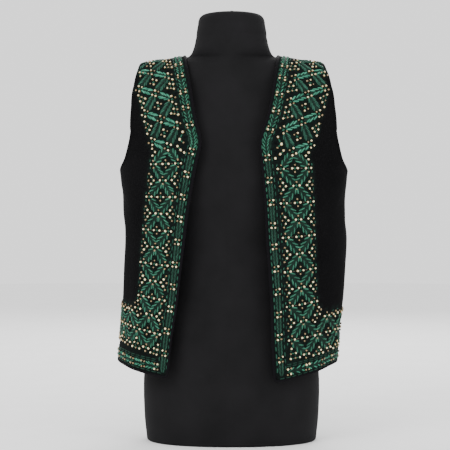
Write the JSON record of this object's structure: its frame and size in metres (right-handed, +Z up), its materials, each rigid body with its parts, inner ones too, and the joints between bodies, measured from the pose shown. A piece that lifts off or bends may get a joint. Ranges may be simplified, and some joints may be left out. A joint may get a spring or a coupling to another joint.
{
  "type": "embroidered folk vest on a dress form",
  "caption": "Sleeveless open-front black wool vest with embroidered bands and edge binding, hanging on a limbless dress form that stands on its flat underside.",
  "frame": {"origin": "under the middle of the dress form's flat underside, on the surface it stands on", "axes": "+Z up, the front faces -Y, the wearer's left is +X"},
  "size_m": [0.4357, 0.24, 0.812],
  "materials": {
    "wool": "matte",
    "braid": "matte",
    "jersey": "matte"
  },
  "bodies": {
    "root": {"front_right": "wool", "front_left": "wool", "back": "wool", "binding_front_right": "braid", "binding_front_left": "braid", "binding_back_neck": "braid", "binding_back_hem": "braid", "dress_form": "jersey"}
  },
  "joints": []
}
